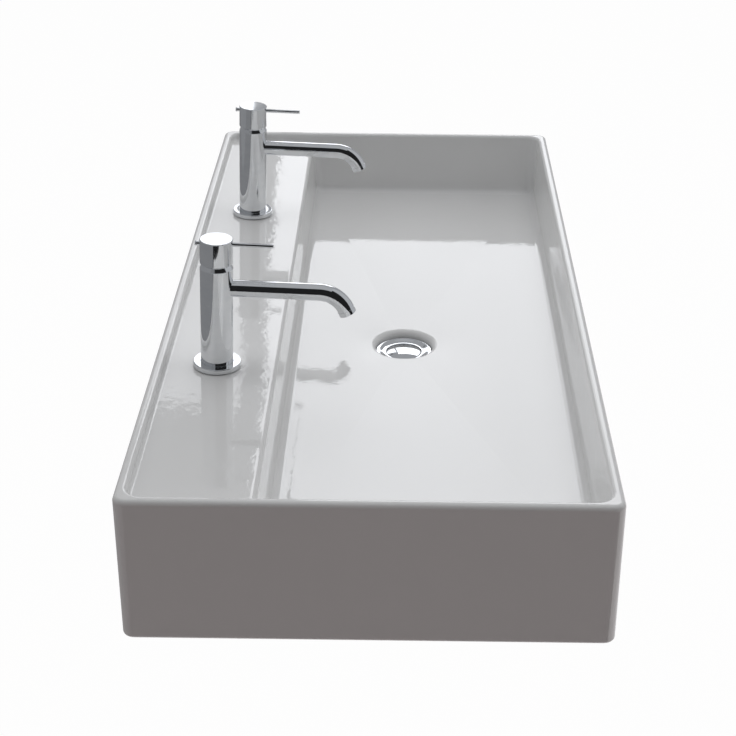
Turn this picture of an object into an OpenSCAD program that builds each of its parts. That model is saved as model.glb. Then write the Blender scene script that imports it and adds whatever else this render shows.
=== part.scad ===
// Trough sink: a long ceramic basin with two pin-lever mixer taps and a click-clack waste.
// X runs along the basin, +Y points to the wall, +Z is up. The origin is on the wall, midway
// between the two wall bolts. Left is -X. Sizes are millimetres.

/* [Basin] */
// Overall length of the basin
basin_l = 1000; // [900:10:1200]
// Overall depth from the wall to the front
basin_w = 460; // [430:5:520]
// Overall height from the bottom rim to the top rim
basin_h = 150; // [140:1:170]
// Outer corner radius in plan
corner_r = 12; // [8:1:20]
// Thickness of the walls at the rim
wall_t = 11; // [10.5:0.5:14]
// Rounding of the rim's outer edge
rim_outer_r = 5; // [3:0.5:5.5]
// Rounding of the rim's inner edge
rim_inner_r = 4.5; // [3:0.5:5]
// Rounding of the bottom edge
foot_r = 3; // [1:0.5:5]
// Inner corner radius in plan, at the rim
inner_corner_r = 16; // [15:1:24]
// Thickness of the skirt below the bowl
skirt_t = 12; // [10:1:16]

/* [Bowl] */
// Depth from the rim to the floor where it meets the walls
bowl_depth = 84; // [75:1:90]
// How much the walls lean in from the rim to the floor
bowl_draft = 4; // [2:0.5:8]
// Radius of the cove between the walls and the floor
bowl_cove = 10; // [6:1:11]
// How far the floor falls from the walls to the waste dish
floor_fall = 6; // [3:0.5:10]
// Thickness of the floor at the waste dish
floor_t = 12; // [10:1:16]
// Thickness of the wall between the bowl and the space under the ledge
bowl_back_t = 12; // [10:1:16]

/* [Tap ledge] */
// From the basin's back face to the edge of the ledge over the bowl
ledge_w = 121; // [110:1:135]
// Depth of the ledge below the rim, at the taps
ledge_drop = 11; // [9:0.5:15]
// Fall of the ledge towards the bowl, in degrees
ledge_fall = 2; // [0:0.5:3]
// Thickness of the ledge
ledge_t = 14; // [12:1:18]
// Radius of the cove round the ledge
ledge_cove = 4; // [2:0.5:4]
// Rounding of the ledge's edge over the bowl
ledge_edge_r = 6; // [3:0.5:8]
// Distance between the two taps
tap_spacing = 425; // [380:5:600]
// From the basin's back face to the tap axes
tap_back = 64; // [58:1:70]
// Diameter of the tap holes
tap_hole_d = 35; // [32:1:38]

/* [Underside] */
// Distance between the two wall bolts
bolt_spacing = 280; // [200:10:320]
// Height of the wall bolts above the bottom rim
bolt_z = 92; // [80:1:96]
// Diameter of the holes for the wall bolts
bolt_hole_d = 16; // [12:1:20]
// Diameter of the pads round the wall bolt holes
bolt_pad_d = 44; // [36:1:50]
// Thickness that the pads add to the back wall
bolt_pad_t = 8; // [4:1:12]
// Distance between the two ribs under the bowl
rib_spacing = 560; // [520:10:700]
// Thickness of the ribs
rib_t = 10; // [8:1:14]
// Height of the ribs' lower edge above the bottom rim
rib_rise = 14; // [8:1:20]

/* [Waste] */
// From the basin's middle line towards the front, to the waste axis
waste_front = 30; // [10:1:50]
// Diameter of the waste flange
flange_d = 66; // [62:1:72]
// Thickness of the waste flange at its rim
flange_t = 3.8; // [3.5:0.1:4.5]
// How far the flange dishes from its rim to its throat
flange_dish = 2.4; // [1.5:0.1:2.8]
// Gap between the flange and the ceramic recess
flange_gap = 0.4; // [0.2:0.1:1]
// Rounding of the ceramic lip round the recess
dish_lip_r = 7; // [5:0.5:8]
// Diameter of the waste hole in the ceramic
waste_hole_d = 46; // [45:0.5:50]
// Diameter of the boss round the waste hole
boss_d = 84; // [78:1:100]
// Thickness of the ceramic at the waste, from the flange's seat down
boss_t = 29; // [24:1:32]
// Diameter of the collar between the waste's flange and its tail
collar_d = 45; // [44.5:0.1:45]
// Height of that collar
collar_h = 6; // [5:0.5:8]
// Outer diameter of the waste's threaded tail
tail_d = 41.9; // [41.5:0.1:42]
// Length of the tail below the boss
tail_below_boss = 42; // [36:1:60]
// Bore of the tail
tail_bore_d = 35; // [32:0.5:36]
// Width of the groove that parts the nut's thread from the trap's thread
relief_w = 4; // [3:0.5:5]
// Depth of that groove
relief_depth = 1.4; // [1:0.1:1.8]
// Thickness of the flat seal under the flange
top_seal_t = 1; // [0.8:0.1:2]
// Thickness of the seal under the boss
bottom_seal_t = 4; // [3:0.5:6]
// Outer diameter of the seal under the boss
bottom_seal_d = 70; // [64:1:76]
// Thickness of the washer under that seal
waste_washer_t = 2; // [1.5:0.5:3]
// Width across the flats of the waste nut
waste_nut_af = 52; // [50:1:56]
// Height of the waste nut
waste_nut_h = 8; // [6:0.5:10]
// Gap between the tail and the washers on it
tail_gap = 0.1; // [0.05:0.05:0.3]

/* [Waste plug] */
// Diameter of the plug
plug_d = 42; // [40:0.5:43]
// Height of the plug's crown above its edge
plug_crown = 1.6; // [0.8:0.1:2.5]
// Thickness of the plug at its edge
plug_t = 2.2; // [1.8:0.1:3]
// How far the plug rises when it opens
plug_travel = 8; // [6:0.5:10]
// Diameter of the plug's stem
stem_d = 7; // [6:0.5:9]
// Running gap between the stem and its hub
stem_gap = 0.06; // [0.03:0.01:0.1]
// Outer diameter of the hub that guides the stem
hub_d = 13; // [12:0.5:16]
// Height of the hub
hub_h = 22; // [18:1:26]
// Thickness of the arms that carry the hub
arm_t = 2.4; // [2:0.2:4]
// Thickness of the spider's rim
spider_rim_t = 1.6; // [1.2:0.2:2.4]
// Height of the spider's rim and arms
spider_h = 8; // [6:1:12]
// Gap round the plug in the waste's throat
plug_gap = 0.5; // [0.4:0.1:0.8]
// Section diameter of the plug's seal ring
plug_seal_t = 1.8; // [1.4:0.2:2]
// Gap between the seal ring and its seat when the plug is down
plug_seal_gap = 0.2; // [0.1:0.1:0.4]

/* [Tap body] */
// Diameter of the tap's body and handle
tap_d = 34; // [33:0.5:38]
// Height of the body's top above the ledge
body_h = 112; // [110:1:125]
// Diameter of the base flange
base_d = 50; // [48:1:56]
// Height of the base flange above its seal
base_h = 5; // [4:0.5:7]
// Rounding of the base flange's top edge
base_round = 3.5; // [2:0.5:3.5]
// Thickness of the rubber ring under the tap
base_seal_t = 1; // [0.5:0.1:1.5]
// Gap between the base flange and the body
base_gap = 0.1; // [0.05:0.05:0.3]
// Width of the body's foot under the base flange
body_foot_w = 2.5; // [2:0.5:3]
// Height of the body's foot
body_foot_h = 2; // [1.5:0.5:2.5]
// Bore for the cartridge and its nut
chamber_d = 26; // [25.5:0.5:27]
// Diameter of the threaded water inlets
inlet_d = 9; // [8.5:0.5:9.5]
// Depth of the inlet threads
inlet_depth = 14; // [12:1:18]
// Distance between the two inlets
inlet_spacing = 14; // [13:0.5:15]
// How far the inlets lie in front of the tap axis
inlet_front = 4; // [3:0.5:5]
// Diameter of the waterways
waterway_d = 6; // [4:0.5:7]

/* [Spout] */
// Outer diameter of the spout
spout_d = 18; // [16:0.5:20]
// Wall thickness of the spout
spout_wall = 1.5; // [1:0.1:2]
// Depth of the spout's axis below the body's top
spout_drop = 23; // [17:1:30]
// Reach from the tap axis to the middle of the outlet
spout_reach = 135; // [110:1:150]
// Radius of the bend, at the middle of the tube
spout_bend_r = 31; // [24:1:40]
// Angle of the bend
spout_bend = 65; // [50:1:80]
// Straight length after the bend
spout_end = 5; // [4:0.5:10]
// How much wider the spout's tip is than the tube, on the radius
spout_tip_step = 0.15; // [0.1:0.05:0.4]
// Distance of the spout's inner end from the cartridge chamber
spout_stop = 0.5; // [0.3:0.1:1]
// Gap between the spout and its socket
spout_gap = 0.05; // [0.02:0.01:0.1]
// Length of the outlet insert
aerator_t = 4; // [3:0.5:6]
// How far the outlet insert sits back from the spout's end
aerator_set = 0.8; // [0.4:0.1:1.5]
// Diameter of the outlet insert's holes
aerator_hole_d = 1.4; // [1:0.1:1.6]

/* [Cartridge] */
// Depth of the pivot below the body's top
pivot_drop = 6; // [5:0.5:8]
// Height of the cartridge
cartridge_h = 26; // [24:1:30]
// Radial gap between the cartridge and its chamber
cartridge_gap = 0.3; // [0.1:0.1:0.6]
// Diameter of the turning carrier
carrier_d = 18; // [17:0.5:19]
// Running gap between the carrier and the cartridge
carrier_gap = 0.06; // [0.03:0.01:0.1]
// Thickness of the carrier's disc
carrier_t = 6; // [5:0.5:7]
// Thickness of the carrier's two ears
ear_t = 2.6; // [2:0.2:3]
// Diameter of the pivot pin
pivot_d = 3; // [2.5:0.5:4]
// Diameter of the spindle
spindle_d = 8; // [7:0.5:9]
// How far the spindle reaches below the pivot
spindle_tail = 4.5; // [4:0.5:5]
// Running gap between the spindle and the carrier
spindle_gap = 0.3; // [0.2:0.1:0.5]
// Height of the cartridge nut
cartridge_nut_h = 3.5; // [3:0.5:4]
// Radius of the domed cover, from the pivot
dome_r = 15.5; // [15:0.1:16]
// Wall thickness of the domed cover
dome_wall = 1.4; // [1:0.1:1.8]
// Diameter of the hole in the domed cover
dome_hole_d = 17; // [16:0.5:18]

/* [Handle] */
// Gap between the body's top and the handle
neck_gap = 5.5; // [5:0.1:7]
// Height of the handle
cap_h = 25.5; // [22:0.5:34]
// Chamfer of the handle's top edge
cap_chamfer = 0.8; // [0.4:0.1:1.5]
// Wall thickness of the handle's skirt
cap_wall = 2; // [1.6:0.1:2.4]
// Depth of the hollow in the handle
cap_hollow = 9; // [8:0.5:12]
// Depth of the spindle's socket above the hollow
cap_socket = 7; // [5:0.5:7.5]
// Gap between the spindle and its socket
cap_gap = 0.05; // [0.02:0.01:0.1]
// Diameter of the lever rod
lever_d = 4; // [3:0.5:5]
// Length of the lever from the tap axis to its tip
lever_reach = 58; // [45:1:80]
// Depth of the lever's axis below the handle's top
lever_drop = 5.5; // [4.5:0.5:6]
// Diameter of the end piece behind the handle
lever_end_d = 5.4; // [5:0.2:7]
// Length of the end piece behind the handle
lever_end_l = 4.6; // [3:0.2:8]
// Diameter of the grub screw
grub_d = 4; // [3:0.5:5]

/* [Tap fixing] */
// Diameter of the fixing stud
stud_d = 8; // [6:1:8]
// How far the stud goes into the body
stud_depth = 12; // [10:1:16]
// Length of the stud below the ledge
stud_below = 34; // [28:1:50]
// How far the stud lies behind the tap axis
stud_back = 8; // [7:0.5:9]
// Diameter of the horseshoe gasket and washer
shoe_d = 46; // [42:1:52]
// Width of the horseshoe's slot
shoe_slot = 25; // [24:0.5:27]
// Width of the web between the slot and the stud hole
shoe_web = 2; // [1.5:0.5:3]
// Thickness of the rubber horseshoe
shoe_gasket_t = 2.5; // [2:0.5:4]
// Thickness of the metal horseshoe
shoe_washer_t = 2; // [1.5:0.5:3]
// Width across the flats of the fixing nut
fixing_nut_af = 13; // [11:1:13]
// Height of the fixing nut
fixing_nut_h = 14; // [8:1:20]

/* [Hidden] */
$fn = 96;
eps = 0.05;
ceramic = [0.93, 0.93, 0.92];
chrome = [0.78, 0.79, 0.81];
brass = [0.80, 0.68, 0.38];
steel = [0.62, 0.63, 0.65];
rubber = [0.10, 0.10, 0.11];
plastic = [0.88, 0.88, 0.86];

// Basin levels and lines
half_l = basin_l / 2;
half_w = basin_w / 2;
tap_y = half_w - tap_back;
ledge_z = basin_h - ledge_drop;
ledge_edge_y = half_w - ledge_w;
bowl_face_y = ledge_edge_y - ledge_edge_r;
floor_z = basin_h - bowl_depth;
dish_z = floor_z - floor_fall;
under_z = dish_z - floor_t;
wall_top_z = basin_h - rim_inner_r;
cove_top_z = floor_z + bowl_cove;

// Waste levels
waste_y = -waste_front;
recess_r = flange_d / 2 + flange_gap;
dish_r = recess_r + dish_lip_r;
flange_top_z = dish_z - dish_lip_r - 0.5;
flange_under_z = flange_top_z - flange_t;
seat_z = flange_under_z - top_seal_t;
boss_z = seat_z - boss_t;
throat_r = plug_d / 2 + plug_gap;
throat_z = flange_top_z - flange_dish;
plug_z = throat_z - plug_t;
plug_seal_r = (tail_bore_d / 2 + plug_d / 2) / 2;
plug_seat_z = plug_z - plug_seal_t / 2 - plug_seal_gap;
tail_r = tail_d / 2;
spider_z = boss_z + 4;
hub_top_z = spider_z + hub_h;

// Tap levels, from the ledge up along the tap's axis
spout_z = body_h - spout_drop;
pivot_z = body_h - pivot_drop;
cap_z = body_h + neck_gap;
cap_top_z = cap_z + cap_h;
cartridge_top_z = pivot_z;
cartridge_z = cartridge_top_z - cartridge_h;
carrier_top_z = pivot_z - 2;
carrier_z = carrier_top_z - carrier_t;
ear_x = spindle_d / 2 + spindle_gap;
lever_z = cap_top_z - lever_drop;
socket_top_z = cap_z + cap_hollow + cap_socket;
spindle_top_z = socket_top_z - 0.3;
grub_z = cap_z + cap_hollow + cap_socket / 2;
tap_r = tap_d / 2;
chamber_r = chamber_d / 2;
spout_start = chamber_r + spout_stop;
// Start of the bend, from the tap axis towards the front
bend_y = spout_reach - spout_bend_r * sin(spout_bend) - spout_end * cos(spout_bend);
shoe_z = -ledge_t - shoe_gasket_t - shoe_washer_t;

SIDES = ["left", "right"];
TAP_PIECES = [
    "base_seal", "base_flange", "body", "spout", "aerator", "cartridge", "cartridge_nut",
    "neck_dome", "carrier", "pivot_pin", "spindle", "handle_cap", "lever", "lever_end",
    "grub_screw", "fixing_stud", "horseshoe_gasket", "horseshoe_washer", "fixing_nut"
];
WASTE_PIECES = [
    "waste_body", "waste_top_seal", "waste_bottom_seal", "waste_washer", "waste_nut",
    "waste_spider", "plug", "plug_seal", "plug_stem"
];

// Height of the sloping ledge at a distance from the middle line
function ledge_at(y) = ledge_z + (y - tap_y) * tan(ledge_fall);

// Outline points are [x, y, and the outward normal's x and y]. A quarter turn from angle a:
function corner(x, y, r, a) = [for (i = [0:4])
    let (c = cos(a + 22.5 * i), s = sin(a + 22.5 * i)) [x + r * c, y + r * s, c, s]];

// Rounded rectangle inside the walls, anticlockwise from the front right corner. Its two end
// sides have points at y1 and y2.
function outline(back, y1, y2) =
    let (r = inner_corner_r, x = half_l - wall_t, front = -half_w + wall_t)
    concat(
        corner(x - r, front + r, r, -90),
        [[x, y1, 1, 0], [x, y2, 1, 0]],
        corner(x - r, back - r, r, 0),
        corner(-x + r, back - r, r, 90),
        [[-x, y2, -1, 0], [-x, y1, -1, 0]],
        corner(-x + r, front + r, r, 180));

// Extra thickness of the leaning walls at a height
function lean(z) =
    z > wall_top_z ? 0 : bowl_draft * (wall_top_z - max(z, cove_top_z)) / (wall_top_z - cove_top_z);

// A ring of points: the outline moved inwards by side at the front and the ends and by back at
// the back, at a height that may slope from the ledge's edge
function ring(plan, side, back, z0, slope = 0) = [for (p = plan)
    let (z = z0 + slope * (p[1] - ledge_edge_y), at_back = p[3] > 0 ? p[3] * p[3] : 0,
        e = (side + lean(z)) * (1 - at_back) + back * at_back)
    [p[0] - p[2] * e, p[1] - p[3] * e, z]];

// A solid through rings of points, listed upwards and each anticlockwise. Its two ends are fans
// round their rings' middles.
module loft(rings) {
    n = len(rings[0]);
    top = len(rings) - 1;
    function middle(r) = [for (p = r) 1] * r / n;
    sides = [for (k = [0:top - 1], i = [0:n - 1])
        let (a = k * n + i, b = k * n + (i + 1) % n, c = b + n, d = a + n)
        each [[a, d, c], [a, c, b]]];
    ends = [for (i = [0:n - 1]) let (j = (i + 1) % n)
        each [[i, j, (top + 1) * n], [top * n + j, top * n + i, (top + 1) * n + 1]]];
    polyhedron(
        points = concat([for (r = rings) each r], [middle(rings[0]), middle(rings[top])]),
        faces = concat(sides, ends),
        convexity = 6);
}

module rounded_plan(l, w, r) {
    square([l - 2 * r, w], center = true);
    square([l, w - 2 * r], center = true);
    for (x = [-1, 1], y = [-1, 1])
        translate([x * (l / 2 - r), y * (w / 2 - r)]) circle(r);
}

// A round bar of radius e that runs round a rounded rectangle, for rounded edges
module edge_bar(l, w, r, e) {
    for (y = [-1, 1])
        translate([-l / 2 + r, y * (w / 2 - e), 0]) rotate([0, 90, 0]) cylinder(r = e, h = l - 2 * r);
    for (x = [-1, 1])
        translate([x * (l / 2 - e), w / 2 - r, 0]) rotate([90, 0, 0]) cylinder(r = e, h = w - 2 * r);
    for (c = [[1, 1, 0], [-1, 1, 90], [-1, -1, 180], [1, -1, 270]])
        translate([c[0] * (l / 2 - r), c[1] * (w / 2 - r), 0]) rotate([0, 0, c[2]])
            rotate_extrude(angle = 90) translate([r - e, 0]) circle(e);
}

module tube(outer_r, inner_r, h) {
    difference() {
        cylinder(r = outer_r, h = h);
        translate([0, 0, -1]) cylinder(r = inner_r, h = h + 2);
    }
}

module hexagon_bar(af, h) {
    cylinder(r = af / 2 / cos(30), h = h, $fn = 6);
}

// Outer block of the basin with rounded rim and foot
module basin_block() {
    translate([0, 0, foot_r])
        linear_extrude(basin_h - foot_r - rim_outer_r) rounded_plan(basin_l, basin_w, corner_r);
    linear_extrude(basin_h)
        rounded_plan(basin_l - 2 * rim_outer_r, basin_w - 2 * rim_outer_r, corner_r - rim_outer_r);
    translate([0, 0, basin_h - rim_outer_r]) edge_bar(basin_l, basin_w, corner_r, rim_outer_r);
    linear_extrude(foot_r + eps)
        rounded_plan(basin_l - 2 * foot_r, basin_w - 2 * foot_r, corner_r - foot_r);
    translate([0, 0, foot_r]) edge_bar(basin_l, basin_w, corner_r, foot_r);
}

// Everything above the floor: cove, leaning walls, the ledge's edge, the ledge with its cove,
// and the rim's inner edge. Below the ledge the back side is the wall under its edge, and above
// it the back side is the basin's own back wall.
module bowl_hollow() {
    fall = tan(ledge_fall);
    edge_z = ledge_at(ledge_edge_y);
    bowl_plan = outline(bowl_face_y, waste_y - 30, waste_y + 70);
    edge_plan = outline(ledge_edge_y, ledge_edge_y - 32, ledge_edge_y - 22);
    ledge_plan = outline(half_w - wall_t, ledge_edge_y - 10, ledge_edge_y + 4);
    function cove_off(a) = bowl_cove * (1 - sin(a));
    loft(concat(
        [for (a = [0:30:90])
            ring(bowl_plan, cove_off(a), bowl_draft + cove_off(a), floor_z + bowl_cove * (1 - cos(a)))],
        [for (a = [0:30:90])
            ring(edge_plan, 0, ledge_edge_r * cos(a), edge_z - ledge_edge_r * (1 - sin(a)), fall + 0.02)],
        [for (a = [0:30:90]) let (off = ledge_cove * (1 - sin(a)))
            [for (p = ledge_plan)
                let (y = p[1] > ledge_edge_y ? p[1] - p[3] * off : p[1],
                    z = ledge_at(y) + ledge_cove * (1 - cos(a)),
                    e = p[1] > ledge_edge_y ? off : lean(z))
                [p[0] - p[2] * e, y, z]]],
        [for (a = [0:30:90])
            ring(ledge_plan, -rim_inner_r * (1 - cos(a)), -rim_inner_r * (1 - cos(a)),
                wall_top_z + 0.1 + (rim_inner_r - 0.1) * sin(a))],
        [ring(ledge_plan, -rim_inner_r, -rim_inner_r, basin_h + 4)]));
}

// The floor: from the foot of the cove it falls to a circle round the waste. Its outline has
// points at even angles as seen from the waste.
module floor_hollow() {
    inset = bowl_draft + bowl_cove;
    x = half_l - wall_t - inset;
    front = -half_w + wall_t + inset;
    back = bowl_face_y - inset;
    function side(y, dir) = [for (a = [-63:21:63]) [dir * abs(y - waste_y) * tan(a), y]];
    edge = concat(
        [[x - 1, front + 1], [x, waste_y - 50], [x, waste_y + 50], [x - 1, back - 1]], side(back, -1),
        [[1 - x, back - 1], [-x, waste_y + 50], [-x, waste_y - 50], [1 - x, front + 1]], side(front, 1));
    function at(t, z) = [for (p = edge)
        let (d = p - [0, waste_y], q = [0, waste_y] + (dish_r + 1.5) * d / norm(d), c = p + (q - p) * t)
        [c[0], c[1], z]];
    loft([for (t = [1, 0.7, 0.35, 0]) at(t, floor_z - floor_fall * t * t), at(0, floor_z + 1)]);
}

// Round dish, flange recess and hole for the waste
module waste_opening() {
    translate([0, waste_y, 0]) {
        rotate_extrude() difference() {
            translate([0, dish_z - dish_lip_r]) square([dish_r, dish_lip_r + 1]);
            translate([dish_r, dish_z - dish_lip_r]) circle(dish_lip_r);
        }
        translate([0, 0, seat_z]) cylinder(r = recess_r, h = dish_z - dish_lip_r - seat_z + eps);
        translate([0, 0, -1]) cylinder(d = waste_hole_d, h = seat_z + 2);
    }
}

// Space below the bowl and the ledge, open at the bottom
module underside() {
    inner_y = half_w - skirt_t;
    intersection() {
        rotate([90, 0, 90]) translate([0, 0, -half_l]) linear_extrude(basin_l)
            polygon([
                [-inner_y, -1], [inner_y, -1], [inner_y, ledge_at(inner_y) - ledge_t],
                [bowl_face_y + bowl_back_t, ledge_at(bowl_face_y + bowl_back_t) - ledge_t],
                [bowl_face_y - bowl_draft + bowl_back_t, under_z], [-inner_y, under_z]
            ]);
        translate([0, 0, -1]) linear_extrude(basin_h)
            rounded_plan(basin_l - 2 * skirt_t, basin_w - 2 * skirt_t, corner_r);
    }
}

module bolt_places() {
    for (x = [-1, 1]) translate([x * bolt_spacing / 2, half_w, bolt_z]) rotate([90, 0, 0]) children();
}

// Stands its children square on the sloping ledge, on side 0 (left) or 1 (right)
module at_tap(side) {
    translate([(side - 0.5) * tap_spacing, tap_y, ledge_z]) rotate([ledge_fall, 0, 0]) children();
}

module basin() {
    color(ceramic) difference() {
        union() {
            difference() {
                basin_block();
                bowl_hollow();
                floor_hollow();
                underside();
            }
            translate([0, waste_y, boss_z]) cylinder(d = boss_d, h = under_z + 2 - boss_z);
            for (x = [-1, 1])
                translate([x * rib_spacing / 2 - rib_t / 2, -half_w + skirt_t - 1, rib_rise])
                    cube([rib_t, basin_w - 2 * skirt_t + 2, under_z + 1 - rib_rise]);
            bolt_places() translate([0, 0, 1]) cylinder(d = bolt_pad_d, h = skirt_t + bolt_pad_t - 1);
        }
        waste_opening();
        bolt_places() translate([0, 0, -1]) cylinder(d = bolt_hole_d, h = skirt_t + bolt_pad_t + 2);
        for (side = [0, 1]) at_tap(side)
            translate([0, 0, -ledge_t - 2]) cylinder(d = tap_hole_d, h = ledge_t + 4);
    }
}

// Tap: every piece stands on the ledge, at the tap's own origin

module base_seal() {
    color(rubber) tube(base_d / 2 - 1.5, 15, base_seal_t);
}

module base_flange() {
    r = base_d / 2;
    inner_r = tap_r + base_gap;
    over_foot = body_foot_h + base_gap;
    color(chrome) translate([0, 0, base_seal_t]) rotate_extrude() {
        translate([inner_r, over_foot]) square([r - base_round - inner_r, base_h - over_foot]);
        translate([inner_r + body_foot_w, 0]) square([r - inner_r - body_foot_w, base_h - base_round]);
        intersection() {
            translate([r - base_round, base_h - base_round]) circle(base_round);
            translate([inner_r + body_foot_w, 0]) square([r, base_h]);
        }
    }
}

module inlet_places() {
    for (x = [-1, 1]) translate([x * inlet_spacing / 2, -inlet_front, base_seal_t]) children();
}

module body() {
    color(chrome) difference() {
        translate([0, 0, base_seal_t]) {
            cylinder(r = tap_r, h = body_h - base_seal_t);
            cylinder(r = tap_r + body_foot_w, h = body_foot_h);
        }
        translate([0, 0, cartridge_z]) cylinder(r = chamber_r, h = body_h);
        inlet_places() translate([0, 0, -1]) cylinder(d = inlet_d, h = inlet_depth + 1);
        inlet_places() cylinder(d = waterway_d, h = cartridge_z);
        translate([0, stud_back, 0]) cylinder(d = stud_d, h = base_seal_t + stud_depth);
        translate([0, 0, spout_z]) rotate([90, 0, 0]) {
            translate([0, 0, spout_start]) cylinder(r = spout_d / 2 + spout_gap, h = tap_r);
            cylinder(d = waterway_d, h = tap_r);
        }
    }
}

// Turns to the bend's own plane: X up, Y along the spout's first straight, the bend's centre at 0
module at_bend() {
    translate([0, -bend_y, spout_z - spout_bend_r]) rotate(180, [1, 0, 1]) children();
}

// Places its children at the end of the bend, with Z along the spout's last straight
module at_bend_end() {
    at_bend() rotate([0, 0, spout_bend]) translate([spout_bend_r, 0, 0]) rotate([-90, 0, 0]) children();
}

// The tip is a short sleeve over the end of the bend, a touch wider than the tube
module spout() {
    r = spout_d / 2;
    inner_r = r - spout_wall;
    color(chrome) {
        at_bend() {
            translate([spout_bend_r, 0, 0]) rotate([90, 0, 0]) tube(r, inner_r, bend_y - spout_start);
            difference() {
                rotate_extrude(angle = spout_bend) translate([spout_bend_r, 0]) circle(r);
                rotate_extrude(angle = spout_bend) translate([spout_bend_r, 0]) circle(inner_r);
            }
        }
        at_bend_end() translate([0, 0, -1])
            tube(r + spout_tip_step, inner_r + spout_tip_step, spout_end + 1);
    }
}

module aerator() {
    r = spout_d / 2 - spout_wall + spout_tip_step - 0.1;
    color(plastic) at_bend_end() translate([0, 0, spout_end - aerator_set - aerator_t]) difference() {
        cylinder(r = r, h = aerator_t);
        for (ring = [0:2], k = [0:max(6 * ring, 1) - 1])
            rotate([0, 0, 360 * k / max(6 * ring, 1)]) translate([ring * r / 3, 0, -1])
                cylinder(d = aerator_hole_d, h = aerator_t + 2, $fn = 16);
    }
}

module cartridge() {
    color(plastic) difference() {
        translate([0, 0, cartridge_z]) cylinder(r = chamber_r - cartridge_gap, h = cartridge_h);
        translate([0, 0, carrier_z]) cylinder(r = carrier_d / 2 + carrier_gap, h = cartridge_h);
        for (x = [-1, 1]) translate([x * inlet_spacing / 2, -inlet_front, cartridge_z - 1])
            cylinder(d = waterway_d - 1, h = 6);
        translate([0, -chamber_r / 2, spout_z]) rotate([90, 0, 0]) cylinder(d = waterway_d, h = chamber_r);
    }
}

module cartridge_nut() {
    color(brass) translate([0, 0, cartridge_top_z])
        tube(chamber_r, carrier_d / 2 - 0.6, cartridge_nut_h);
}

// Cover with the shape of a ball round the pivot, so that the handle can tilt over it. It sits
// on the body's top and has a spigot in the chamber.
module neck_dome() {
    spigot_z = cartridge_top_z + cartridge_nut_h;
    color(chrome) rotate_extrude() difference() {
        union() {
            intersection() {
                translate([0, pivot_z]) circle(dome_r);
                translate([dome_hole_d / 2, body_h]) square(dome_r);
            }
            translate([chamber_r - dome_wall, spigot_z]) square([dome_wall, body_h - spigot_z + eps]);
        }
        intersection() {
            translate([0, pivot_z]) circle(dome_r - dome_wall);
            translate([0, body_h + eps]) square(dome_r);
        }
    }
}

module carrier() {
    ear_w = pivot_d + 4;
    color(plastic) difference() {
        union() {
            translate([0, 0, carrier_z + 0.1]) cylinder(r = carrier_d / 2, h = carrier_t - 0.1);
            for (x = [-1, 1])
                translate([x * (ear_x + ear_t / 2) - ear_t / 2, -ear_w / 2, carrier_top_z - 1])
                    cube([ear_t, ear_w, pivot_z - carrier_top_z + 1]);
            for (x = [-1, 1])
                translate([x * (ear_x + ear_t / 2) - ear_t / 2, 0, pivot_z]) rotate([0, 90, 0])
                    cylinder(d = ear_w, h = ear_t);
        }
        translate([-ear_x, -carrier_d / 2 + 2, carrier_z + 1.2])
            cube([2 * ear_x, carrier_d - 4, carrier_t + 10]);
        translate([-carrier_d, 0, pivot_z]) rotate([0, 90, 0]) cylinder(d = pivot_d, h = 2 * carrier_d);
    }
}

module pivot_pin() {
    reach = ear_x + ear_t;
    color(steel) translate([-reach, 0, pivot_z]) rotate([0, 90, 0]) cylinder(d = pivot_d, h = 2 * reach);
}

module spindle() {
    color(steel) difference() {
        translate([0, 0, pivot_z - spindle_tail])
            cylinder(d = spindle_d, h = spindle_top_z - pivot_z + spindle_tail);
        translate([-spindle_d, 0, pivot_z]) rotate([0, 90, 0])
            cylinder(d = pivot_d + 2 * carrier_gap, h = 2 * spindle_d);
    }
}

module handle_cap() {
    color(chrome) difference() {
        union() {
            translate([0, 0, cap_z]) cylinder(r = tap_r, h = cap_h - cap_chamfer);
            translate([0, 0, cap_top_z - cap_chamfer])
                cylinder(r1 = tap_r, r2 = tap_r - cap_chamfer, h = cap_chamfer);
        }
        translate([0, 0, cap_z - 1]) cylinder(r = tap_r - cap_wall, h = cap_hollow + 1);
        translate([0, 0, cap_z]) cylinder(r = spindle_d / 2 + cap_gap, h = socket_top_z - cap_z);
        translate([0, tap_d, lever_z]) rotate([90, 0, 0])
            cylinder(r = lever_d / 2 + cap_gap, h = 2 * tap_d);
        translate([0, 0, grub_z]) rotate([-90, 0, 0]) cylinder(r = grub_d / 2 + cap_gap, h = tap_d);
    }
}

module lever() {
    color(chrome) translate([0, tap_r, lever_z]) rotate([90, 0, 0]) {
        cylinder(d = lever_d, h = tap_r + lever_reach - 0.5);
        translate([0, 0, tap_r + lever_reach - 0.5])
            cylinder(d1 = lever_d, d2 = lever_d - 1, h = 0.5);
    }
}

module lever_end() {
    color(chrome) translate([0, tap_r, lever_z]) rotate([-90, 0, 0]) {
        cylinder(d = lever_end_d, h = lever_end_l - 0.6);
        translate([0, 0, lever_end_l - 0.6]) cylinder(d1 = lever_end_d, d2 = lever_end_d - 1.2, h = 0.6);
    }
}

module grub_screw() {
    color(steel) translate([0, spindle_d / 2, grub_z]) rotate([-90, 0, 0]) difference() {
        cylinder(d = grub_d, h = 8);
        translate([0, 0, 5.5]) hexagon_bar(grub_d / 2, 4);
    }
}

module fixing_stud() {
    color(steel) translate([0, stud_back, -ledge_t - stud_below])
        cylinder(d = stud_d, h = ledge_t + stud_below + base_seal_t + stud_depth - 0.5);
}

// Round plate with a slot for the water hoses, open at the front
module horseshoe(h) {
    difference() {
        cylinder(d = shoe_d, h = h);
        translate([0, stud_back - stud_d / 2 - shoe_web - shoe_d / 2, -1]) linear_extrude(h + 2)
            rounded_plan(shoe_slot, shoe_d, 3);
        translate([0, stud_back, -1]) cylinder(r = stud_d / 2 + 0.2, h = h + 2);
    }
}

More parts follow.
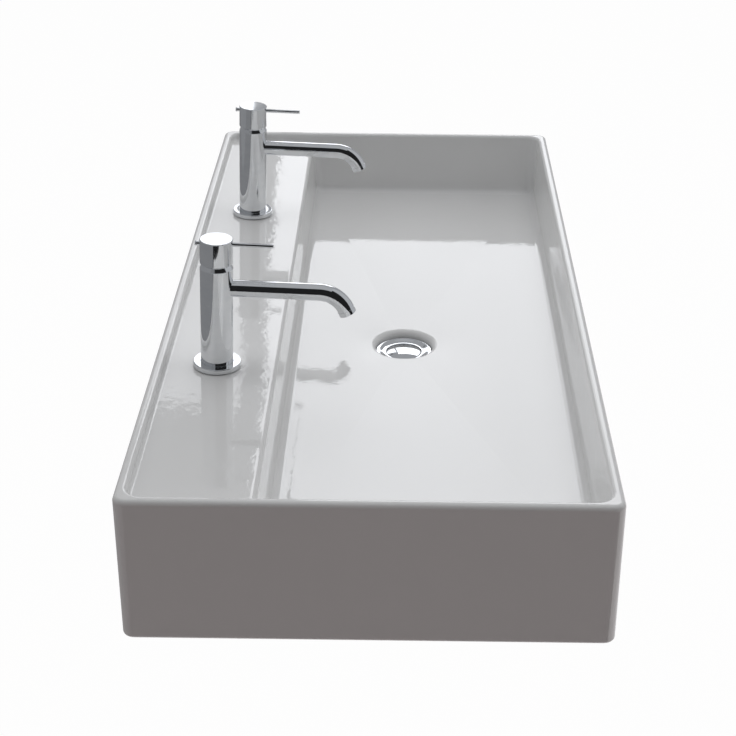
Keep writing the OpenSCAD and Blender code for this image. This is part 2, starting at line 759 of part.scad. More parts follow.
module horseshoe_gasket() {
    color(rubber) translate([0, 0, -ledge_t - shoe_gasket_t]) horseshoe(shoe_gasket_t);
}

module horseshoe_washer() {
    color(steel) translate([0, 0, shoe_z]) horseshoe(shoe_washer_t);
}

module fixing_nut() {
    color(brass) translate([0, stud_back, shoe_z - fixing_nut_h]) difference() {
        hexagon_bar(fixing_nut_af, fixing_nut_h);
        translate([0, 0, -1]) cylinder(d = stud_d, h = fixing_nut_h + 2);
    }
}

// Waste: every piece is centred on the waste's axis

module waste_body() {
    tail_z = boss_z - tail_below_boss;
    nut_z = boss_z - bottom_seal_t - waste_washer_t - waste_nut_h;
    groove_r = tail_r - relief_depth;
    flange_r = flange_d / 2;
    bore_r = tail_bore_d / 2;
    color(chrome) rotate_extrude() polygon([
        [bore_r, tail_z], [tail_r, tail_z], [tail_r, nut_z - relief_w], [groove_r, nut_z - relief_w],
        [groove_r, nut_z], [tail_r, nut_z], [tail_r, flange_under_z - collar_h],
        [collar_d / 2, flange_under_z - collar_h], [collar_d / 2, flange_under_z],
        [flange_r, flange_under_z], [flange_r, flange_top_z - 1], [flange_r - 1, flange_top_z],
        [flange_r - 2.5, flange_top_z], [throat_r, throat_z], [throat_r, plug_seat_z],
        [bore_r, plug_seat_z]
    ]);
}

module waste_top_seal() {
    color(rubber) translate([0, 0, seat_z]) tube(flange_d / 2 - 1, collar_d / 2 + tail_gap, top_seal_t);
}

module waste_bottom_seal() {
    color(rubber) translate([0, 0, boss_z - bottom_seal_t])
        tube(bottom_seal_d / 2, tail_r + tail_gap, bottom_seal_t);
}

module waste_washer() {
    color(plastic) translate([0, 0, boss_z - bottom_seal_t - waste_washer_t])
        tube(bottom_seal_d / 2 - 1, tail_r + tail_gap, waste_washer_t);
}

module waste_nut() {
    color(brass) translate([0, 0, boss_z - bottom_seal_t - waste_washer_t - waste_nut_h]) difference() {
        union() {
            hexagon_bar(waste_nut_af, waste_nut_h);
            translate([0, 0, waste_nut_h - 2]) cylinder(d = waste_nut_af / cos(30) + 1, h = 2);
        }
        translate([0, 0, -1]) cylinder(r = tail_r + tail_gap / 2, h = waste_nut_h + 2);
    }
}

module waste_spider() {
    rim_r = tail_bore_d / 2 - 0.05;
    color(steel) translate([0, 0, spider_z]) difference() {
        union() {
            tube(rim_r, rim_r - spider_rim_t, spider_h);
            for (a = [0, 120, 240]) rotate([0, 0, a])
                translate([0, -arm_t / 2, 0]) cube([rim_r - spider_rim_t / 2, arm_t, spider_h]);
            cylinder(d = hub_d, h = hub_h);
        }
        translate([0, 0, -1]) cylinder(r = stem_d / 2 + stem_gap, h = hub_h + 2);
    }
}

module plug() {
    r = plug_d / 2;
    crown_r = (r * r + plug_crown * plug_crown) / (2 * plug_crown);
    color(chrome) {
        rotate_extrude() difference() {
            intersection() {
                translate([0, plug_z + plug_t + plug_crown - crown_r]) circle(crown_r, $fn = 360);
                translate([0, plug_z]) square([r, plug_t + plug_crown]);
            }
            translate([plug_seal_r, plug_z]) circle(plug_seal_t / 2);
        }
        translate([0, 0, hub_top_z])
            tube(hub_d / 2 - 0.5, stem_d / 2, plug_z + plug_t / 2 - hub_top_z);
    }
}

module plug_seal() {
    color(rubber) translate([0, 0, plug_z])
        rotate_extrude() translate([plug_seal_r, 0]) circle(plug_seal_t / 2);
}

module plug_stem() {
    bottom = spider_z - plug_travel / 2;
    color(steel) translate([0, 0, bottom]) cylinder(d = stem_d, h = plug_z - bottom);
}

// Moves from the middle of the basin's plan, at its bottom rim, to the origin on the wall
module from_wall() {
    translate([0, -half_w, -bolt_z]) children();
}

// Shows one piece of both taps, each under its own name
module tap_piece(name) {
    for (side = [0, 1])
        from_wall() at_tap(side) children();
}

module waste_piece(name) {
    from_wall() translate([0, waste_y, 0]) children();
}

from_wall() basin();
tap_piece("base_seal") base_seal();
tap_piece("base_flange") base_flange();
tap_piece("body") body();
tap_piece("spout") spout();
tap_piece("aerator") aerator();
tap_piece("cartridge") cartridge();
tap_piece("cartridge_nut") cartridge_nut();
tap_piece("neck_dome") neck_dome();
tap_piece("carrier") carrier();
tap_piece("pivot_pin") pivot_pin();
tap_piece("spindle") spindle();
tap_piece("handle_cap") handle_cap();
tap_piece("lever") lever();
tap_piece("lever_end") lever_end();
tap_piece("grub_screw") grub_screw();
tap_piece("fixing_stud") fixing_stud();
tap_piece("horseshoe_gasket") horseshoe_gasket();
tap_piece("horseshoe_washer") horseshoe_washer();
tap_piece("fixing_nut") fixing_nut();
waste_piece("waste_body") waste_body();
waste_piece("waste_top_seal") waste_top_seal();
waste_piece("waste_bottom_seal") waste_bottom_seal();
waste_piece("waste_washer") waste_washer();
waste_piece("waste_nut") waste_nut();
waste_piece("waste_spider") waste_spider();
waste_piece("plug") plug();
waste_piece("plug_seal") plug_seal();
waste_piece("plug_stem") plug_stem();
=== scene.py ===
import math
import bmesh
import bpy
from mathutils import Matrix, Vector


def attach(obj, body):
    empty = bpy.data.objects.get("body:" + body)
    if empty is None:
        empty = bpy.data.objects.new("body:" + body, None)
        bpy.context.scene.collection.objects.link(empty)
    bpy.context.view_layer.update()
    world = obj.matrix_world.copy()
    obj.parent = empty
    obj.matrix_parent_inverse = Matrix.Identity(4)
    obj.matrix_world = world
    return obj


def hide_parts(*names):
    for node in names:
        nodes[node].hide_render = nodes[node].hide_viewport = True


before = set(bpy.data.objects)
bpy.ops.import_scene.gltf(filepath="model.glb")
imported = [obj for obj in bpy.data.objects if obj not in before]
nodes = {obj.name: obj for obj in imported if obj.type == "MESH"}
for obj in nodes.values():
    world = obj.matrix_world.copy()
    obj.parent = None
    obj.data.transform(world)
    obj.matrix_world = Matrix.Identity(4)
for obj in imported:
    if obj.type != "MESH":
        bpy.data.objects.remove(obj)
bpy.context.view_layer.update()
sides = {"left": -1, "right": 1}
weldDistance = 0.000002
print("frame loaded with", len(nodes), "nodes")


# Edit-mode helpers; every size is in metres.
def only(*pieces):
    bpy.ops.object.select_all(action="DESELECT")
    for piece in pieces:
        piece.select_set(True)
    if pieces:
        bpy.context.view_layer.objects.active = pieces[0]


def newPiece(name, primitive, **settings):
    only()
    primitive(**settings)
    piece = bpy.context.object
    piece.name = piece.data.name = name
    return piece


def openEdit(piece, kind="VERT"):
    only(piece)
    bpy.ops.object.mode_set(mode="EDIT")
    bpy.ops.mesh.select_mode(type=kind)
    bpy.ops.mesh.select_all(action="DESELECT")


def closeEdit():
    bpy.ops.object.mode_set(mode="OBJECT")


def pick(piece, kind, wanted):  # kind is verts, edges or faces
    mesh = bmesh.from_edit_mesh(piece.data)
    for item in getattr(mesh, kind):
        item.select_set(bool(wanted(item)))
    mesh.select_flush_mode()
    bmesh.update_edit_mesh(piece.data)


def middle(item):
    return sum((v.co for v in item.verts), Vector()) / len(item.verts)


def applyModifier(piece, kind, **settings):
    only(piece)
    modifier = piece.modifiers.new(kind.title(), kind)
    for key, value in settings.items():
        setattr(modifier, key, value)
    bpy.ops.object.modifier_apply(modifier=modifier.name)


def applyPlace(piece, matrix=None):
    if matrix is not None:
        piece.matrix_world = matrix @ piece.matrix_world
    only(piece)
    bpy.ops.object.transform_apply(location=True, rotation=True, scale=True)


def cleanNormals(piece):
    openEdit(piece)
    bpy.ops.mesh.select_all(action="SELECT")
    bpy.ops.mesh.remove_doubles(threshold=weldDistance)
    bpy.ops.mesh.normals_make_consistent(inside=False)
    closeEdit()


def softEdges(piece, width, segments=3, angle=40):
    applyModifier(piece, "BEVEL", width=width, segments=segments, limit_method="ANGLE",
                  angle_limit=math.radians(angle))


def smooth(piece, angle=35):
    only(piece)
    bpy.ops.object.shade_smooth_by_angle(angle=math.radians(angle))
    applyModifier(piece, "WEIGHTED_NORMAL", keep_sharp=True, weight=60)


def cut(piece, tool, operation="DIFFERENCE"):
    applyModifier(piece, "BOOLEAN", object=tool, operation=operation, solver="EXACT",
                  material_mode="TRANSFER")
    bpy.data.objects.remove(tool)


def copyOf(piece, name):
    twin = piece.copy()
    twin.data = piece.data.copy()
    twin.name = twin.data.name = name
    bpy.context.scene.collection.objects.link(twin)
    return twin


def finished(piece, body, material, replaced):
    if material is not None:
        piece.data.materials.clear()
        piece.data.materials.append(material)
    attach(piece, body)
    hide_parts(*replaced)


def arc(x, z, radius, start, end, steps=8):  # points on an arc, with its angles in degrees
    turns = [math.radians(start + (end - start) * i / steps) for i in range(steps + 1)]
    return [(x + radius * math.cos(a), z + radius * math.sin(a)) for a in turns]


# The profile is drawn with one point and spun round the Z axis.
def turned(name, profile, steps=96):
    piece = newPiece(name, bpy.ops.mesh.primitive_plane_add, size=0.002)
    openEdit(piece)
    bpy.ops.mesh.select_all(action="SELECT")
    bpy.ops.mesh.merge(type="CENTER")
    bpy.ops.transform.translate(value=(profile[0][0], 0, profile[0][1]))
    for (x0, z0), (x1, z1) in zip(profile, profile[1:]):
        step = (x1 - x0, 0, z1 - z0)
        bpy.ops.mesh.extrude_vertices_move(TRANSFORM_OT_translate={"value": step})
    if profile[0][0] > 0 or profile[-1][0] > 0:
        ends = [Vector((x, 0, z)) for x, z in (profile[0], profile[-1])]
        pick(piece, "verts", lambda v: min((v.co - end).length for end in ends) < weldDistance)
        bpy.ops.mesh.edge_face_add()
    bpy.ops.mesh.select_all(action="SELECT")
    bpy.ops.mesh.spin(steps=steps, angle=2 * math.pi, center=(0, 0, 0), axis=(0, 0, 1))
    closeEdit()
    cleanNormals(piece)
    return piece


def cylinderTool(radius, start, end):  # a straight cutter between two points
    start, end = Vector(start), Vector(end)
    tool = newPiece("cutter", bpy.ops.mesh.primitive_cylinder_add, vertices=64, radius=radius,
                    depth=(end - start).length, location=(start + end) / 2,
                    rotation=(end - start).to_track_quat("Z", "Y").to_euler())
    applyPlace(tool)
    return tool


# Shader maths: a Sum wraps one socket, and the usual operators add Math nodes.
class Sum:
    def __init__(self, graph, socket):
        self.graph, self.socket = graph, socket

    def math(self, operation, left, right, clamp=False):
        return self.graph.add("Math", {"operation": operation, "use_clamp": clamp}, [left, right])

    def __add__(self, other): return self.math("ADD", self, other)
    def __radd__(self, other): return self.math("ADD", other, self)
    def __sub__(self, other): return self.math("SUBTRACT", self, other)
    def __rsub__(self, other): return self.math("SUBTRACT", other, self)
    def __mul__(self, other): return self.math("MULTIPLY", self, other)
    def __rmul__(self, other): return self.math("MULTIPLY", other, self)
    def __truediv__(self, other): return self.math("DIVIDE", self, other)
    def __rtruediv__(self, other): return self.math("DIVIDE", other, self)
    def __pow__(self, other): return self.math("POWER", self, other)
    def __rpow__(self, other): return self.math("POWER", other, self)
    def clamped(self): return self.math("ADD", self, 0, True)


class Graph:  # one material's nodes
    def __init__(self, name, world=False):
        self.owner = bpy.data.worlds.new(name) if world else bpy.data.materials.new(name)
        self.owner.use_nodes = True
        self.tree = self.owner.node_tree
        self.tree.nodes.clear()

    def add(self, kind, settings=None, inputs=(), output=0):
        node = self.tree.nodes.new("ShaderNode" + kind)
        for key, value in (settings or {}).items():
            if key == "stops":
                ramp = node.color_ramp.elements
                ramp[0].position, ramp[1].position = value[0][0], value[-1][0]
                for at, tone in value[1:-1]:
                    ramp.new(at)
                for element, (at, tone) in zip(ramp, value):
                    rgb = tone if isinstance(tone, tuple) else (tone, tone, tone)
                    element.color = (*rgb, 1)
            else:
                setattr(node, key, value)
        named = inputs.items() if isinstance(inputs, dict) else enumerate(inputs)
        for key, value in named:
            if isinstance(value, Sum):
                self.tree.links.new(value.socket, node.inputs[key])
            elif value is not None:
                node.inputs[key].default_value = value
        return Sum(self, node.outputs[output]) if node.outputs else None

    def place(self):  # the point in the object's own space
        return self.add("TexCoord", output="Object")

    def parts(self, vector):
        split = self.add("SeparateXYZ", inputs=[vector])
        return [Sum(self, socket) for socket in split.socket.node.outputs]

    def noise(self, vector, scale, detail=2, rough=0.5):
        return self.add("TexNoise", inputs={"Vector": vector, "Scale": scale, "Detail": detail,
                                            "Roughness": rough})

    def tone(self, factor, *stops):  # a colour ramp
        return self.add("ValToRGB", {"stops": stops}, [factor])

    def bump(self, height, distance, strength=1.0, normal=None):
        inputs = {"Height": height, "Distance": distance, "Strength": strength}
        if normal is not None:
            inputs["Normal"] = normal
        return self.add("Bump", inputs=inputs)

    def surface(self, **inputs):  # ends the material in one Principled shader
        inputs = {key.replace("_", " "): value for key, value in inputs.items()}
        shader = self.add("BsdfPrincipled", inputs=inputs, output="BSDF")
        self.add("OutputMaterial", inputs={"Surface": shader})
        return self.owner


# Finishes
def glazeMaterial():
    look = {"white": (0.84, 0.84, 0.835), "patch": (0.8274, 0.8274, 0.822475), "sag": 0.0004,
            "ripple": 0.00012, "orangePeel": 0.000003}
    g = Graph("whiteGlaze")
    at = g.place()
    patches = g.noise(at, 5, 3)
    colour = g.add("Mix", {"data_type": "RGBA"}, {0: patches.clamped(), 6: (*look["white"], 1),
                                                  7: (*look["patch"], 1)}, 2)
    gloss = 0.025 + g.noise(at, 40, 3) * 0.02
    stretched = g.add("Mapping", inputs={"Vector": at, "Scale": (0.5, 1, 1)})
    sag = g.bump(g.noise(stretched, 13, 1), look["sag"])
    ripple = g.bump(g.noise(at, 60, 3, 0.6), look["ripple"], normal=sag)
    peel = g.bump(g.noise(at, 900, 1), look["orangePeel"], normal=ripple)
    return g.surface(Base_Color=colour, Roughness=gloss, Normal=peel, IOR=1.7)


def bisqueMaterial():  # bare, fired clay below, with thin overspray
    g = Graph("firedClay")
    at = g.place()
    grain = g.noise(at, 700, 4, 0.6)
    blotch = g.noise(at, 18, 3)
    colour = g.tone(blotch * 0.7 + grain * 0.3, (0.3, (0.66, 0.63, 0.57)),
                    (0.7, (0.79, 0.775, 0.74)))
    return g.surface(Base_Color=colour, Roughness=0.55 + blotch * 0.3,
                     Normal=g.bump(grain, 0.0002, 0.7))


def chromeMaterial():
    g = Graph("polishedChrome")
    at = g.place()
    smear = g.noise(g.add("Mapping", inputs={"Vector": at, "Scale": (1, 1, 2.2)}), 60, 3)
    spots = g.add("TexVoronoi", inputs={"Vector": at, "Scale": 170})
    colour = g.tone(smear, (0.3, (0.80, 0.815, 0.835)), (0.75, (0.86, 0.87, 0.88)))
    rough = 0.03 + smear ** 2 * 0.09 + (spots * -9 + 1).clamped() * 0.025
    return g.surface(Base_Color=colour, Metallic=1.0, Roughness=rough,
                     Normal=g.bump(smear, 0.00001))


def metalMaterial(name, dark, light, roughness, thread=0):  # thread is the pitch
    g = Graph(name)
    at = g.place()
    z = g.parts(at)[2]
    stain = g.noise(at, 90, 4, 0.6)
    brushed = g.noise(g.add("Mapping", inputs={"Vector": at, "Scale": (1, 1, 30)}), 120, 3)
    height = brushed * 0.05
    if thread:
        ridges = g.add("Math", {"operation": "PINGPONG"}, [z + 1, thread / 2])
        height = height + ridges / (thread / 2)
    normal = g.bump(height, thread * 0.4 if thread else 0.0003)
    return g.surface(Base_Color=g.tone(stain, (0.3, dark), (0.7, light)), Metallic=1.0,
                     Roughness=roughness + brushed * 0.12, Normal=normal)


def softMaterial(name, dark, light, roughness, grain, depth):
    g = Graph(name)
    at = g.place()
    fine = g.noise(at, grain, 3, 0.6)
    shade = g.noise(at, 30, 2)
    return g.surface(Base_Color=g.tone(shade * 0.6 + fine * 0.4, (0.3, dark), (0.7, light)),
                     Roughness=roughness + fine * 0.15, Normal=g.bump(fine, depth))


glaze, bisque, chrome = glazeMaterial(), bisqueMaterial(), chromeMaterial()
zinc = metalMaterial("zincSteel", (0.42, 0.43, 0.45), (0.60, 0.61, 0.62), 0.28)
threaded = metalMaterial("threadedSteel", (0.40, 0.41, 0.43), (0.60, 0.61, 0.62), 0.25,
                         0.00125)
brass = metalMaterial("rawBrass", (0.55, 0.40, 0.17), (0.74, 0.57, 0.29), 0.26)
rubber = softMaterial("blackRubber", (0.018, 0.018, 0.019), (0.040, 0.040, 0.042), 0.55, 900,
                      0.00004)
plastic = softMaterial("whitePlastic", (0.74, 0.74, 0.72), (0.82, 0.82, 0.80), 0.34, 500,
                       0.00002)
print("finishes ready")


# Camera at the near, left end of the basin, looking along it and down
camera = {"place": (-1.7063, -0.2568, 0.8208), "lens": 78.45, "sensor": 36,
          "shiftX": -0.04348, "pitch": 0.4786, "yaw": 0.0007, "roll": 0.0122}
bpy.ops.object.camera_add(location=camera["place"])
shot = bpy.context.object
shot.name = "productCamera"
shot.rotation_euler = (Matrix.Rotation(camera["yaw"] - math.pi / 2, 4, "Z")
                       @ Matrix.Rotation(math.pi / 2 - camera["pitch"], 4, "X")
                       @ Matrix.Rotation(camera["roll"], 4, "Z")).to_euler()
shot.data.lens, shot.data.sensor_width = camera["lens"], camera["sensor"]
shot.data.shift_x = camera["shiftX"]
bpy.context.scene.camera = shot
bpy.context.scene.view_settings.view_transform = "Standard"


# White studio: camera, mirror and glass rays see white behind the basin, and the rest gets a
# plain soft light. Cards that only mirrors see stand where the photograph's room shows in the
# chrome and the glaze: its dark part behind the camera, its grey walls and its ceiling.
studio = {"foot": -0.092, "floorBelow": 0.75, "floorSize": 16, "paint": (0.68, 0.58, 0.575),
          "glow": 0.98, "soft": (0.955, 0.968, 1.0), "cards": (0.96, 0.98, 1.02),
          "diffuseNear": 0.165, "diffuseFar": 0.62}


def rays(g):  # camera, mirror and glass rays
    return [Sum(g, g.add("LightPath").socket.node.outputs[name])
            for name in ("Is Camera Ray", "Is Glossy Ray", "Is Transmission Ray")]


def makeSky():
    g = Graph("studioSky", world=True)
    x = g.parts(g.add("TexCoord", output="Generated"))[0]
    seen, mirror, through = rays(g)
    soft = g.tone(x * 0.5 + 0.5, (0.30, studio["diffuseNear"]), (0.80, studio["diffuseFar"]))
    bright = (seen + mirror + through).clamped()
    back = g.add("Background", inputs={"Strength": soft * (1 - bright) + bright,
                                       "Color": (1, 1, 1, 1)})
    g.add("OutputWorld", inputs={"Surface": back})
    bpy.context.scene.world = g.owner


def makeFloor():
    floor = newPiece("studioFloor", bpy.ops.mesh.primitive_plane_add, size=studio["floorSize"],
                     location=(0, 0, studio["foot"] - studio["floorBelow"]))
    g = Graph("whiteFloor")
    seen, mirror, through = rays(g)
    paint = g.add("BsdfDiffuse", inputs={"Color": (*studio["paint"], 1)})
    glow = g.add("Emission", inputs={"Color": (1, 1, 1, 1), "Strength": 1.0})
    bright = (seen + mirror + through).clamped() * studio["glow"]
    lit = g.add("MixShader", inputs=[bright, paint, glow])
    hidden = g.add("BsdfTransparent")
    under = g.add("NewGeometry", output="Backfacing")
    g.add("OutputMaterial", inputs={"Surface": g.add("MixShader", inputs=[under, lit, hidden])})
    floor.data.materials.append(g.owner)


def makeCard(name, place, size, tone, turn=None):  # flat, or upright and turned by an angle
    rotation = (0, 0, 0) if turn is None else (math.pi / 2, 0, math.radians(turn))
    card = newPiece(name, bpy.ops.mesh.primitive_plane_add, size=1, location=place,
                    rotation=rotation)
    card.scale = (*size, 1)
    applyPlace(card)
    g = Graph(name + "Paint")
    colour = (*(tone * c for c in studio["cards"]), 1)
    g.add("OutputMaterial", inputs={"Surface": g.add("Emission", inputs={"Color": colour})})
    card.data.materials.append(g.owner)
    card.visible_camera = card.visible_diffuse = card.visible_shadow = False


# A light of 1 looks white in a mirror.
def makeLamp(name, place, target, size, light, mirrored=True):
    bpy.ops.object.light_add(type="AREA", location=place)
    lamp = bpy.context.object
    lamp.name = name
    lamp.rotation_euler = (Vector(target) - Vector(place)).to_track_quat("-Z", "Y").to_euler()
    lamp.data.shape = "RECTANGLE"
    lamp.data.size, lamp.data.size_y = size
    lamp.data.energy = light * math.pi * size[0] * size[1]
    lamp.data.color = studio["soft"]
    lamp.visible_camera, lamp.visible_glossy = False, mirrored


makeSky()
makeFloor()
makeLamp("farWindow", (3.3, -0.605, 1.72), (0, -0.605, 0.6), (1.39, 1.5), 2.0)
makeLamp("sideWindow", (3.3, 0.65, 1.5), (0, 0.65, 0.4), (0.97, 1.0), 1.2)
makeLamp("overhead", (0.0, -0.45, 2.3), (0.1, -0.3, 0), (1.6, 1.8), 1.2, False)
makeLamp("wallSide", (0.35, 1.9, 1.5), (0, -0.3, 0), (1.8, 1.0), 0.75, False)
makeLamp("frontSide", (0.2, -2.4, 1.5), (-0.1, -0.1, 0), (1.8, 1.0), 0.7, False)
makeCard("wallFoot", (-0.3, 1.45, -0.78), (8.0, 2.4), 0.22)
makeCard("darkFloor", (-2.75, -0.6, -0.76), (3.3, 2.4), 0.012)
makeCard("farWall", (3.7, -0.85, 4.0), (6.9, 9.7), 0.36, 90)
makeCard("tapWall", (-0.25, 2.6, 4.0), (7.9, 9.7), 0.26, 0)
makeCard("tapCorner", (-4.2, 1.5, 4.0), (2.2, 9.7), 0.22, 90)
makeCard("darkBack", (-4.2, -1.95, 4.0), (4.7, 9.7), 0.015, 90)
makeCard("darkSide", (-2.8, -4.3, 4.0), (2.8, 9.7), 0.015, 0)
makeCard("frontWall", (1.15, -4.3, 4.0), (5.1, 9.7), 0.48, 0)
makeCard("ceiling", (-0.25, -0.85, 7.2), (7.9, 6.9), 0.42)
print("camera and studio ready")


# Basin, in its own plan: X along it, Y towards the wall, Z up from its foot
basin = {"length": 1.0, "width": 0.46, "height": 0.15, "wall": 0.011, "outerCorner": 0.012,
         "innerCorner": 0.016, "rimOuter": 0.005, "rimInner": 0.0045, "foot": 0.003,
         "floor": 0.066, "draft": 0.004, "cove": 0.010, "fall": 0.006,
         "ledge": 0.139, "ledgeSlope": 2, "ledgeEdge": 0.109, "edgeRound": 0.006,
         "edgeTilt": 0.02, "ledgeCove": 0.004, "tapX": 0.2125, "tapY": 0.166,
         "tapHole": 0.0175, "boltX": 0.140, "boltZ": 0.092, "boltHole": 0.008,
         "wasteY": -0.030, "dish": 0.0404, "dishMargin": 0.0015, "lip": 0.007,
         "recess": 0.0334, "seat": 0.0477, "wasteHole": 0.023, "holeBottom": 0.010,
         "chamfer": 0.0008, "cornerSteps": 12,
         "roundSteps": 8, "floorSteps": 16, "fanFront": 0.175, "fanBack": 0.119,
         "holeCut": 0.03, "boltCut": (0.19, 0.25)}
underside = {"skirt": 0.012, "corner": 0.012, "ceiling": 0.048, "ledgeThick": 0.014,
             "backFace": 0.115, "ramp": 0.004, "bossRadius": 0.042, "bossBottom": 0.0187,
             "bossTop": 0.07, "ribX": 0.280, "ribThick": 0.010, "ribLength": 0.5,
             "ribHeight": 0.2, "ribBottom": 0.014,
             "padRadius": 0.022, "padThick": 0.008, "fillet": 0.0025, "spare": 0.01}
toWall = Matrix.Translation((0, -basin["width"] / 2, -basin["boltZ"]))
slope = math.tan(math.radians(basin["ledgeSlope"]))
wallTop = basin["height"] - basin["rimInner"]
coveTop = basin["floor"] + basin["cove"]
frontXs = [basin["fanFront"] * math.tan(math.radians(a)) for a in range(-66, 67, 6)]
backXs = [basin["fanBack"] * math.tan(math.radians(a)) for a in range(-72, 73, 6)]


def ledgeAt(y):
    return basin["ledge"] + (y - basin["tapY"]) * slope


def outline(halfLength, front, back, corner, endYs):  # points with their outward directions
    steps = basin["cornerSteps"]

    def quarter(x, y, start):
        turns = [math.radians(start + 90 * i / steps) for i in range(steps + 1)]
        return [(x + corner * math.cos(a), y + corner * math.sin(a), math.cos(a), math.sin(a))
                for a in turns]
    x = halfLength - corner
    return (quarter(x, front + corner, -90) + [(halfLength, y, 1, 0) for y in endYs]
            + quarter(x, back - corner, 0) + [(bx, back, 0, 1) for bx in reversed(backXs)]
            + quarter(-x, back - corner, 90) + [(-halfLength, y, -1, 0) for y in reversed(endYs)]
            + quarter(-x, front + corner, 180) + [(fx, front, 0, -1) for fx in frontXs])


def lean(z):  # how far the draft brings the walls in
    return 0 if z > wallTop else basin["draft"] * (wallTop - max(z, coveTop)) / (wallTop - coveTop)


def moved(plan, offset, z):
    return [(x - nx * offset, y - ny * offset, z) for x, y, nx, ny in plan]


def bowlRing(plan, side, back, z0, tilt=0):
    ring = []
    for x, y, nx, ny in plan:
        z = z0 + tilt * (y - basin["ledgeEdge"])
        atBack = ny * ny if ny > 0 else 0
        inwards = (side + lean(z)) * (1 - atBack) + back * atBack
        ring.append((x - nx * inwards, y - ny * inwards, z))
    return ring


def ledgeRing(plan, offset, lift):
    ring = []
    for x, y, nx, ny in plan:
        behind = y > basin["ledgeEdge"]
        z = ledgeAt(y - ny * offset if behind else y) + lift
        inwards = offset if behind else lean(z)
        ring.append((x - nx * inwards, y - ny * offset if behind else y - ny * inwards, z))
    return ring


def basinRings():
    b, edgeY = basin, basin["ledgeEdge"]
    turn = [math.radians(90 * i / b["roundSteps"]) for i in range(b["roundSteps"] + 1)]
    halfX, halfY = b["length"] / 2, b["width"] / 2
    front = b["wall"] - halfY
    innerX, corner = halfX - b["wall"], b["innerCorner"]
    first = (-0.13, -0.08, -0.03)  # places along Y where each plan's sides have a point
    behind, before = (edgeY - 0.010, edgeY + 0.004), (edgeY - 0.032, edgeY - 0.022)
    outer = outline(halfX, -halfY, halfY, b["outerCorner"], (*first, *behind))
    ledge = outline(innerX, front, -front, corner, (*first, *behind))
    edge = outline(innerX, front, edgeY, corner, (*first, *before))
    bowl = outline(innerX, front, edgeY - b["edgeRound"], corner, (*first, 0.02, 0.05))
    rings = [moved(outer, b["foot"] * (1 - math.sin(a)), b["foot"] * (1 - math.cos(a)))
             for a in turn]
    rings += [moved(outer, b["rimOuter"] * (1 - math.cos(a)),
                    b["height"] - b["rimOuter"] * (1 - math.sin(a))) for a in turn]
    rings += [moved(ledge, -b["rimInner"] * (1 - math.cos(a)),
                    b["height"] - b["rimInner"] * (1 - math.sin(a))) for a in reversed(turn)]
    rings += [ledgeRing(ledge, b["ledgeCove"] * (1 - math.sin(a)),
                        b["ledgeCove"] * (1 - math.cos(a))) for a in reversed(turn)]
    rings += [bowlRing(edge, 0, b["edgeRound"] * math.cos(a),
                       ledgeAt(edgeY) - b["edgeRound"] * (1 - math.sin(a)), slope + b["edgeTilt"])
              for a in reversed(turn)]
    rings += [bowlRing(bowl, b["cove"] * (1 - math.sin(a)),
                       b["draft"] + b["cove"] * (1 - math.sin(a)),
                       b["floor"] + b["cove"] * (1 - math.cos(a))) for a in reversed(turn)]
    last = rings[-1]
    waste = Vector((0, b["wasteY"]))
    outwards = [(Vector(point[:2]) - waste).normalized() for point in last]

    def circle(radius, z):
        return [(waste.x + way.x * radius, waste.y + way.y * radius, z) for way in outwards]
    dishZ = b["floor"] - b["fall"]
    rim = circle(b["dish"] + b["dishMargin"], dishZ)
    for i in range(1, b["floorSteps"] + 1):
        t = i / b["floorSteps"]
        rings.append([(x + (cx - x) * t, y + (cy - y) * t, b["floor"] - b["fall"] * t * t)
                      for (x, y, _), (cx, cy, _) in zip(last, rim)])
    rings += [circle(b["dish"] - b["lip"] * math.sin(a), dishZ - b["lip"] * (1 - math.cos(a)))
              for a in turn]
    rings += [circle(b["recess"], b["seat"]), circle(b["wasteHole"] + b["chamfer"], b["seat"]),
              circle(b["wasteHole"], b["seat"] - b["chamfer"]),
              circle(b["wasteHole"], b["holeBottom"])]
    return rings


def ringSolid(name, rings):  # one face is extruded from ring to ring, and closes each end
    piece = newPiece(name, bpy.ops.mesh.primitive_circle_add, vertices=len(rings[0]), radius=0.1,
                     fill_type="NGON")
    known = {}
    for i, vertex in enumerate(piece.data.vertices):
        vertex.co = rings[0][i]
        known[vertex.co.to_tuple()] = i
    openEdit(piece, "FACE")
    bpy.ops.mesh.select_all(action="SELECT")
    for ring in rings[1:]:
        bpy.ops.mesh.extrude_region_move()
        mesh = bmesh.from_edit_mesh(piece.data)
        nextKnown = {}
        for vertex in mesh.verts:
            if vertex.select:
                i = known[vertex.co.to_tuple()]
                vertex.co = ring[i]
                nextKnown[vertex.co.to_tuple()] = i
        known = nextKnown
        bmesh.update_edit_mesh(piece.data)
    closeEdit()
    cleanNormals(piece)
    return piece


